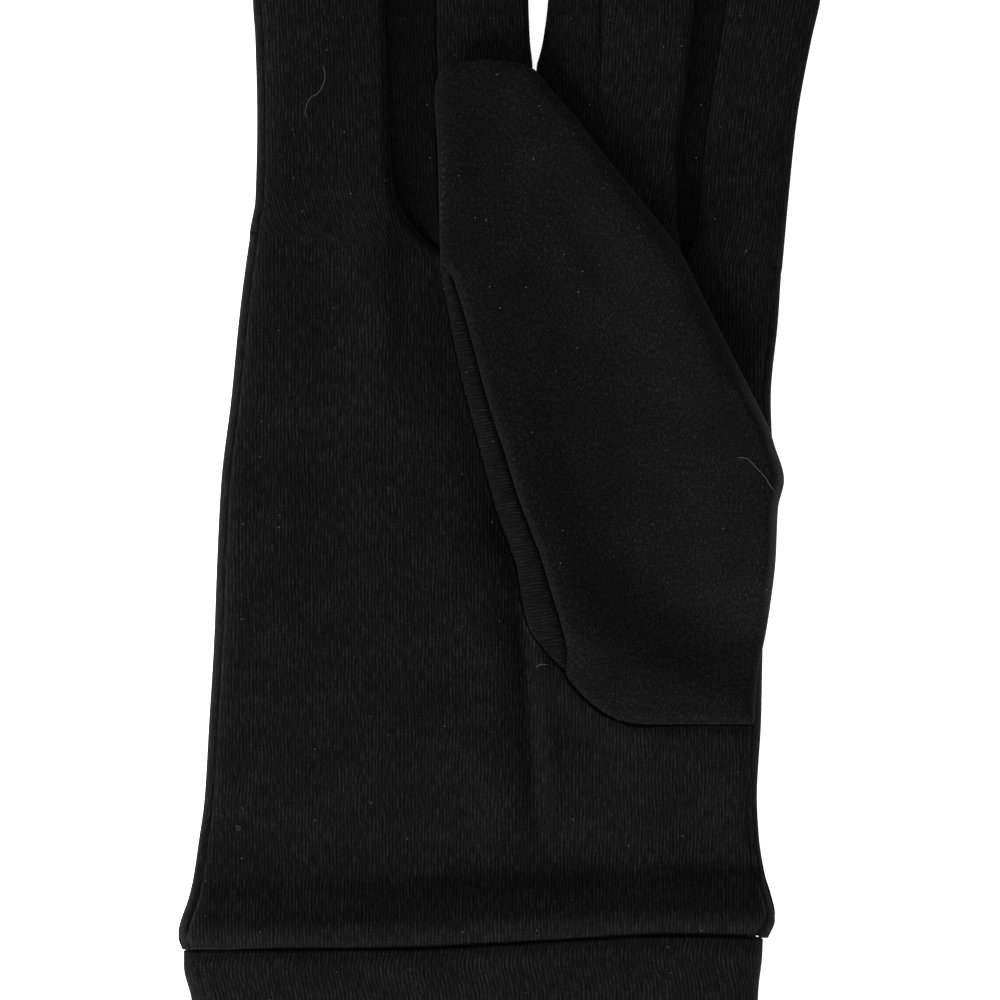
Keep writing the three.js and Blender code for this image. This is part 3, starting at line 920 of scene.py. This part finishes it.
def strip_rows(order, left):
    """Rows of one side of a finger, from the crotch to where the strip ends."""
    finger = FINGERS[order]
    crotch = ROOTS[order if left else order + 1]
    y = mix(crotch, finger["tip_start"], np.linspace(0, 1, FINGER_ROWS + 1))
    y = np.repeat(y[:, None], STRIP_COLUMNS + 1, 1)
    section = finger_section(finger, y)
    side = section.left if left else section.right
    shares = np.linspace(0, 2, STRIP_COLUMNS + 1)[None, :] + 0 * y
    x, z, lift = side_curve(side, section, shares)
    z = z + np.where(shares < 1, palm_relief(x, y) * lift ** 2, 0.0)
    run = np.hypot(x - side.seam_at(False), z - z[:, :1])
    low_run = np.hypot(x - side.seam_at(True), z - z[:, -1:])
    grown = ease((y - crotch) / GROOVE_RISE)
    z = z - seam_groove(run, INNER_GROOVE) * grown + seam_groove(low_run, INNER_GROOVE) * grown
    return grid(x, y, z, run_across(x, z))


for order, name in enumerate(("fourchette_little_ring", "fourchette_ring_middle", "fourchette_middle_index")):
    right_side = strip_rows(order, False)
    left_side = strip_rows(order + 1, True)
    # The strips take the darker knits, painted shade of the valleys between the fingers
    material = strip_knit if name == "fourchette_ring_middle" else painted_deep_shade_strips
    strip = build(name + "_knit", [right_side, left_side], [False, True], CLOTH, material)
    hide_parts(name)


# Thumb

THUMB_COLUMNS = 74
THUMB_ROWS = 150
THUMB_TIP_ROWS = 18
UNDER_COLUMNS = 24
UNDER_IN_STRIP = 0.6
UNDER_LEFT_ROUND = 1.5
UNDER_RIGHT_ROUND = 4.0


def thumb_form(y, across):
    """Height of the thumb's upper face in each row y, at the shares of the way across."""
    rows = [smooth_curve(list(zip(THUMB_ACROSS, heights)))(across) for _, heights in THUMB_FORM]
    ups = [up for up, _ in THUMB_FORM]
    columns = [smooth_curve(list(zip(ups, column_heights)))(y) for column_heights in np.array(rows).T]
    return np.array(columns).T


thumb_left_z = smooth_curve(THUMB_LEFT_Z)
thumb_right_z = smooth_curve(THUMB_RIGHT_Z)
thumb_left_round = smooth_curve(THUMB_LEFT_ROUND)
thumb_right_round = smooth_curve(THUMB_RIGHT_ROUND)


def thumb_edges(y):
    """Left and right edges with their heights, and the share of its height that the tip keeps."""
    into = np.clip((y - THUMB_TIP["start"]) / (THUMB_TIP["end"] - THUMB_TIP["start"]), 0, 1)
    keep = np.sqrt(1 - into ** 2)
    heights = [mix(THUMB_TIP["z"], curve(y), keep) for curve in (thumb_left_z, thumb_right_z)]
    return thumb_left_x(y), thumb_right_x(y), *heights, keep


def thumb_relief(x, y):
    """Small uneven folds of the thumb, and the low ridge by its right edge."""
    ridge = gauss(distance_to_line(x, y, THUMB_RIDGE), 1.3)
    return 0.45 * SOFT_WAVES(x + 40, y) + 0.08 * SMALL_WAVES(x + 9, y) + 0.5 * ridge


def thumb_rows():
    """Heights of the thumb's rows, closer together on its tip."""
    straight = np.linspace(THUMB_BASE_SEAM[-1][1], THUMB_TIP["start"], THUMB_ROWS + 1)
    tip = np.sin(np.linspace(0, math.pi / 2, THUMB_TIP_ROWS + 1))[1:]
    return np.concatenate([straight, mix(THUMB_TIP["start"], THUMB_TIP["end"], tip)])


def thumb_top_patch():
    """The upper face, rounded down to its edges and to the base seam."""
    y = thumb_rows()[:, None]
    left, right, left_z, right_z, keep = thumb_edges(y)
    spread = edge_spread(THUMB_COLUMNS, 0.75)[None, :]
    top_z = mix(THUMB_TIP["z"], thumb_form(y[:, 0], spread[0]), keep)
    x = mix(left, right, spread)
    y = y + 0 * x
    half = np.maximum(right - left, 1e-3) / 2
    left_part = round_share((x - left) / np.minimum(thumb_left_round(y), half))
    right_part = round_share((right - x) / np.minimum(thumb_right_round(y), half))
    z = top_z - (top_z - left_z) * (1 - left_part) - (top_z - right_z) * (1 - right_part)
    off_base = distance_to_line(x, y, THUMB_BASE_SEAM)
    base_part = round_share(off_base / THUMB_BASE_ROUND) * 0.85 + 0.15 * ease(off_base / THUMB_BASE_ROUND)
    foot = np.minimum(PALM_DEPTH + 0.2 + base_swell(x), right_z + (top_z - right_z) * right_part)
    near_base = np.where(off_base < THUMB_BASE_ROUND, base_part, 1.0)
    z = np.where(y < THUMB_BASE_END, mix(foot, z, near_base), z)
    z = z + thumb_relief(x, y) * left_part * right_part * base_part
    z = z - seam_groove(x - left, THUMB_GROOVE) * ease((112 - y) / 4)
    z = z + 0.35 * gauss(off_base - 1.3, 0.8) * ease((x - 20) / 6)
    return grid(x, y, z, x[:, :1] + run_across(x, z))


def thumb_under_patch(top):
    """The underside, which lies on the palm and the fingers."""
    points = top[0][top[0][:, 0, 1] >= THUMB_OPEN_BELOW]
    spread = edge_spread(UNDER_COLUMNS, 0.75)[None, :]
    left_x, left_y, left_z = (points[:, :1, k] for k in range(3))
    right_x, _, right_z = (points[:, -1:, k] for k in range(3))
    in_strip = left_y < THUMB_FOOT[-1][0]
    left_x = np.where(in_strip, mix(thumb_foot_x(left_y), left_x, UNDER_IN_STRIP), left_x)
    left_z = np.where(in_strip, THUMB_FLOOR, left_z)
    x = mix(right_x, left_x, spread)
    y = left_y + 0 * spread
    half = np.maximum(right_x - left_x, 1e-3) / 2
    floor = np.minimum(THUMB_FLOOR, np.minimum(left_z, right_z))
    right_part = round_share((right_x - x) / np.minimum(UNDER_RIGHT_ROUND, half))
    left_part = round_share((x - left_x) / np.minimum(UNDER_LEFT_ROUND, half))
    z = floor + (right_z - floor) * (1 - right_part) + (left_z - floor) * (1 - left_part)
    return grid(x, y, z, x[:, :1] - run_across(x, z))


thumb_top = thumb_top_patch()
thumb_under = thumb_under_patch(thumb_top)
thumb_piece = build("thumb_knit", [thumb_top, thumb_under], [False, False], CLOTH, thumb_knit)
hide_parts("thumb")


# Thumb gusset: the strip between the thumb's seam and the palm

GUSSET_ROWS = 110
GUSSET_COLUMNS = 12
GUSSET_START = 44.2
GUSSET_END = 111.8


def gusset_patch():
    """The strip's slope, steep at the palm and flatter towards the thumb's seam."""
    y = np.linspace(GUSSET_START, GUSSET_END, GUSSET_ROWS + 1)[:, None]
    foot_x = thumb_foot_x(y)
    seam_x = thumb_left_x(y)
    foot_z = face_height(palm_section(y), foot_x, y) + 0.1
    seam_z = thumb_left_z(y) - SEAM_DEPTH
    spread = np.linspace(0, 1, GUSSET_COLUMNS + 1)[None, :]
    x = mix(foot_x, seam_x, spread)
    y = y + 0 * x
    z = mix(foot_z, seam_z, 1 - (1 - spread) ** 2.4)
    z = z - seam_groove(x - foot_x, FOOT_GROOVE) - seam_groove(x - seam_x, OUTER_GROOVE)
    return grid(x, y, z, x)


# The gusset's knit is darkened as painted shade
gusset_piece = build("thumb_gusset_knit", [gusset_patch()], [False], CLOTH, painted_shade_gusset_knit)
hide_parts("thumb_gusset")


# Cuff band

CUFF_ROWS = 60
CUFF_TOP_COLUMNS = 120
CUFF_LOW_COLUMNS = 60
CUFF_CROWD = 0.8
CUFF_STRAIGHT = 20.0
CUFF_ROUND = 4.2
CUFF_LOW_ROUND = 3.2
CUFF_FALL = 1.2
CUFF_LEFT_SEAM = 2.7
CUFF_RIGHT_SEAM = 1.9
HEM_DEPTH = 0.35
HEM_WIDTH = 0.9
HEM_STITCHES = 9.0


def cuff_face(left, right, down, spread, round_reach):
    """Places of one face of the band, and its height share, which is rounded at both sides."""
    x = mix(left, right, spread)
    y = -SEAM_GAP / 2 - down + cuff_y(x) * ease((CUFF_STRAIGHT - down) / CUFF_STRAIGHT)
    return x, y, round_share((x - left) / round_reach) * round_share((right - x) / round_reach)


def cuff_grid():
    """The band's top, which falls a little on the left, and its underside, each with half of the hem."""
    down = np.linspace(0, CUFF_LENGTH, CUFF_ROWS + 1)[:, None]
    left, right, top = (curve(down) for curve in curves(CUFF_OUTLINE))
    top_spread = edge_spread(CUFF_TOP_COLUMNS, CUFF_CROWD)[None, :]
    low_spread = edge_spread(CUFF_LOW_COLUMNS, CUFF_CROWD)[None, ::-1]
    x_top, y_top, part = cuff_face(left, right, down, top_spread, CUFF_ROUND)
    x_low, y_low, low_part = cuff_face(left, right, down, low_spread, CUFF_LOW_ROUND)
    hem = HEM_DEPTH * gauss(down - CUFF_LENGTH, HEM_WIDTH)
    waves = 0.18 * SOFT_WAVES(x_top, y_top) + 0.05 * SMALL_WAVES(x_top, y_top)
    sewn = (seam_groove(x_top - left - CUFF_LEFT_SEAM, CUFF_GROOVE)
            + seam_groove(right - CUFF_RIGHT_SEAM - x_top, CUFF_GROOVE))
    stitched = 0.18 * gauss(down - CUFF_LENGTH + HEM_STITCHES, 0.5)
    z_top = SIDE_MIDDLE + (top - SIDE_MIDDLE) * part - CUFF_FALL * ease((-36 - x_top) / 16) * part
    z_top = z_top + (waves - sewn - stitched) * part ** 2 - hem
    z_low = SIDE_MIDDLE * (1 - low_part) + hem * low_part
    x, y, z = (np.concatenate([above, below[:, 1:]], 1)
               for above, below in ((x_top, x_low), (y_top, y_low), (z_top, z_low)))
    return grid(x, y, z, run_across(x, z))


cuff_piece = build("cuff_band_knit", [cuff_grid()], [True], CUFF_CLOTH, cuff_knit)
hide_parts("cuff_band")


# Near-black tubes of painted shadow in the seams, edge stitches and lint, laid on the cloth

TUBE_SIDES = 6
RAY_START_METRES = 0.05
STITCH_LIFT = 0.05
LINT_LIFT = 0.08
LINT = dict(
    curl=[(-29.2, 145.2), (-28.7, 143.1), (-29.7, 140.6), (-31.5, 139.8), (-32.3, 137.4), (-31.8, 136.5)],
    knot=[(-43.7, 19.3), (-43.2, 19.8), (-42.7, 19.3), (-43.1, 18.7), (-43.6, 19.1), (-43.0, 19.4)],
    fibre=[(5.8, 45.7), (6.8, 46.4), (7.9, 46.2)],
    hair=[(39.1, 80.4), (40.9, 80.4), (42.1, 78.9), (43.9, 77.1), (44.6, 75.7), (45.5, 74.7)],
)
SPECKS = [
    (-1.3, 69.8), (-25.7, 134.1), (-2.3, 119.6), (-4.1, 120.0), (0.0, 105.1), (12.9, 107.7), (35.5, 119.8),
    (-0.5, 143.6), (40.6, 114.5), (44.0, 58.6),
]
STITCHES = dict(x=-9.5, start=119.8, end=132.0, pitch=1.35, length=0.55, radius=0.11)


def plain_material(name, shade):
    graph = Graph(name)
    socket(graph.shader, "Base Color", (shade, shade, shade, 1.0))
    socket(graph.shader, "Roughness", 0.95)
    socket(graph.shader, "Specular IOR Level", 0.02)
    return graph.material


def cloth_height(depsgraph, x, y):
    """Height of the cloth under a place as the camera sees it."""
    z = PALM_DEPTH
    for _ in range(3):
        spot = place(draw_in([(x, y, z)]))[0]
        start = Vector((spot[0], spot[1], RAY_START_METRES))
        hit, where, *_ = bpy.context.scene.ray_cast(depsgraph, start, Vector((0, 0, -1)))
        if hit:
            z = where.z / MM
    return z


def even_points(line, step=0.45):
    """Points along a line at an even spacing, its corners rounded."""
    line = np.array(line, float)
    for _ in range(2):
        cut = np.concatenate([line[:-1] * 0.75 + line[1:] * 0.25, line[:-1] * 0.25 + line[1:] * 0.75], 1)
        line = np.concatenate([line[:1], cut.reshape(-1, 2), line[-1:]])
    gone = np.concatenate([[0], np.cumsum(np.hypot(*np.diff(line, axis=0).T))])
    places = np.linspace(0, gone[-1], max(3, int(gone[-1] / step) + 1))
    return np.stack([np.interp(places, gone, line[:, k]) for k in (0, 1)], 1)


def tube_rings(centres, radii):
    """Corners of a tube round a line of centres, ring by ring."""
    along = np.gradient(centres, axis=0)
    across = np.stack([along[:, 1], -along[:, 0], 0 * along[:, 0]], 1)
    across = across / (np.linalg.norm(across, axis=1, keepdims=True) + 1e-12)
    corners = []
    for centre, radius, sideways in zip(centres, radii, across):
        for side in range(TUBE_SIDES):
            angle = math.tau * side / TUBE_SIDES
            rise = np.array([0, 0, math.sin(angle)])
            corners.append(tuple(centre + radius * (math.cos(angle) * sideways + rise)))
    return corners


def tube_faces(first, rings):
    """Faces between the rings of a tube whose first corner has the number first."""
    faces = []
    for base in range(first, first + (rings - 1) * TUBE_SIDES, TUBE_SIDES):
        for side in range(TUBE_SIDES):
            after = (side + 1) % TUBE_SIDES
            faces.append((base + side, base + after, base + TUBE_SIDES + after, base + TUBE_SIDES + side))
    return faces


def tubes(name, runs, material, lift):
    """One mesh of thin tubes lying on the cloth; a run is (plan line, radius at its start, at its end)."""
    bpy.context.view_layer.update()
    depsgraph = bpy.context.evaluated_depsgraph_get()
    verts = []
    faces = []
    for line, from_radius, to_radius in runs:
        spots = even_points(line)
        heights = np.array([cloth_height(depsgraph, x, y) + lift for x, y in spots])
        centres = place(draw_in(np.column_stack([spots, heights])))
        shares = np.linspace(0, 1, len(centres))
        ends = np.sqrt(np.clip(1.02 - (2 * shares - 1) ** 8, 0.05, 1))
        faces += tube_faces(len(verts), len(centres))
        verts += tube_rings(centres, mix(from_radius, to_radius, shares) * ends * MM)
    piece = plain_mesh(name, verts, faces, material)
    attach(piece, "root")


def seam_shadow_runs():
    """Lines of painted seam shadow: the gusset's foot, the round end of the thumb's base seam, and its
    straight right part.
    """
    foot = [(float(thumb_foot_x(y)) - 0.15, y) for y in np.arange(109.0, 46.0, -1.5)]
    bend = [(float(thumb_left_x(y)) - 0.25, y - 0.2) for y in np.arange(44.6, 36.9, -0.5)]
    straight = [bend[-1], (21.2, 36.1), (24.0, 35.95), (28.0, 36.15), (33.0, 36.3), (41.6, 36.15)]
    corner = [foot[-1], (9.6, 46.0), bend[0]]
    return [(foot, 0.07, 0.18), (corner, 0.20, 0.26), (bend, 0.28, 0.26), (straight, 0.26, 0.10)]


def short_run(x, y, length, radius):
    return [(x, y - length / 2), (x + 0.04, y), (x, y + length / 2)], radius, radius


# Near-black tubes laid in the seams as painted shadow of the gaps between the cloths
seam_shadow_black = plain_material("seam_shadow_black", 0.0004)
stitch_grey = plain_material("stitch_grey", 0.022)
lint_grey = plain_material("lint_grey", 0.05)
tubes("painted_seam_shadows", seam_shadow_runs(), seam_shadow_black, 0.0)
stitch_rows = np.arange(STITCHES["start"], STITCHES["end"], STITCHES["pitch"])
jitter = np.random.default_rng(11).uniform(-1, 1, (len(stitch_rows), 3))
stitch_runs = [
    short_run(STITCHES["x"] + 0.22 * side, y + 0.3 * shift, STITCHES["length"] * (1 + 0.5 * size),
              STITCHES["radius"])
    for y, (side, shift, size) in zip(stitch_rows, jitter)
]
tubes("edge_stitches", stitch_runs, stitch_grey, STITCH_LIFT)
lint_runs = [(line, 0.05, 0.04) for line in LINT.values()]
lint_runs += [short_run(x, y, 0.3, 0.11) for x, y in SPECKS]
tubes("lint", lint_runs, lint_grey, LINT_LIFT)


# Floor, light and camera

# The floor and the key light, in metres and watts
FLOOR_REACH = 3.0
FLOOR_DROP = 0.0002
KEY_LIGHT = dict(spot=(-0.74, -1.04, 0.68), power=52.0, size=0.9)


def pale_floor():
    graph = Graph("pale_floor")
    uv = graph.node("ShaderNodeTexCoord").outputs["Object"]
    ramp = graph.node("ShaderNodeValToRGB")
    ramp.color_ramp.elements[0].color = (0.88, 0.88, 0.88, 1.0)
    ramp.color_ramp.elements[1].color = (0.92, 0.92, 0.92, 1.0)
    graph.link(graph.noise(uv, 60.0), ramp.inputs["Fac"])
    graph.link(ramp.outputs["Color"], graph.shader.inputs["Base Color"])
    socket(graph.shader, "Roughness", 0.9)
    socket(graph.shader, "Emission Color", (1.0, 1.0, 1.0, 1.0))
    socket(graph.shader, "Emission Strength", 0.8)
    corners = [(x * FLOOR_REACH, y * FLOOR_REACH, 0) for x, y in ((-1, -1), (1, -1), (1, 1), (-1, 1))]
    floor = plain_mesh("floor", corners, [(0, 1, 2, 3)], graph.material)
    floor.location.z = cad_low[2] - FLOOR_DROP


def soft_light(name, spot, power, size):
    """A round area light aimed at the frame's origin."""
    lamp = bpy.data.lights.new(name, "AREA")
    lamp.energy = power
    lamp.shape = "DISK"
    lamp.size = size
    holder = new_object(name, lamp)
    holder.location = spot
    holder.rotation_euler = (-Vector(spot)).to_track_quat("-Z", "Y").to_euler()


def camera_above():
    data = bpy.data.cameras.new("camera")
    data.lens = LENS
    data.sensor_width = SENSOR
    camera = new_object("camera", data)
    camera.location = place([(*PHOTO_MIDDLE, CAMERA_HEIGHT)])[0]
    bpy.context.scene.camera = camera


def white_world():
    world = bpy.data.worlds.new("studio")
    world.use_nodes = True
    background = world.node_tree.nodes["Background"]
    socket(background, "Color", (1.0, 1.0, 1.0, 1.0))
    socket(background, "Strength", 1.0)
    bpy.context.scene.world = world


white_world()
pale_floor()
soft_light("key", **KEY_LIGHT)
camera_above()
bpy.context.scene.view_settings.view_transform = "Standard"
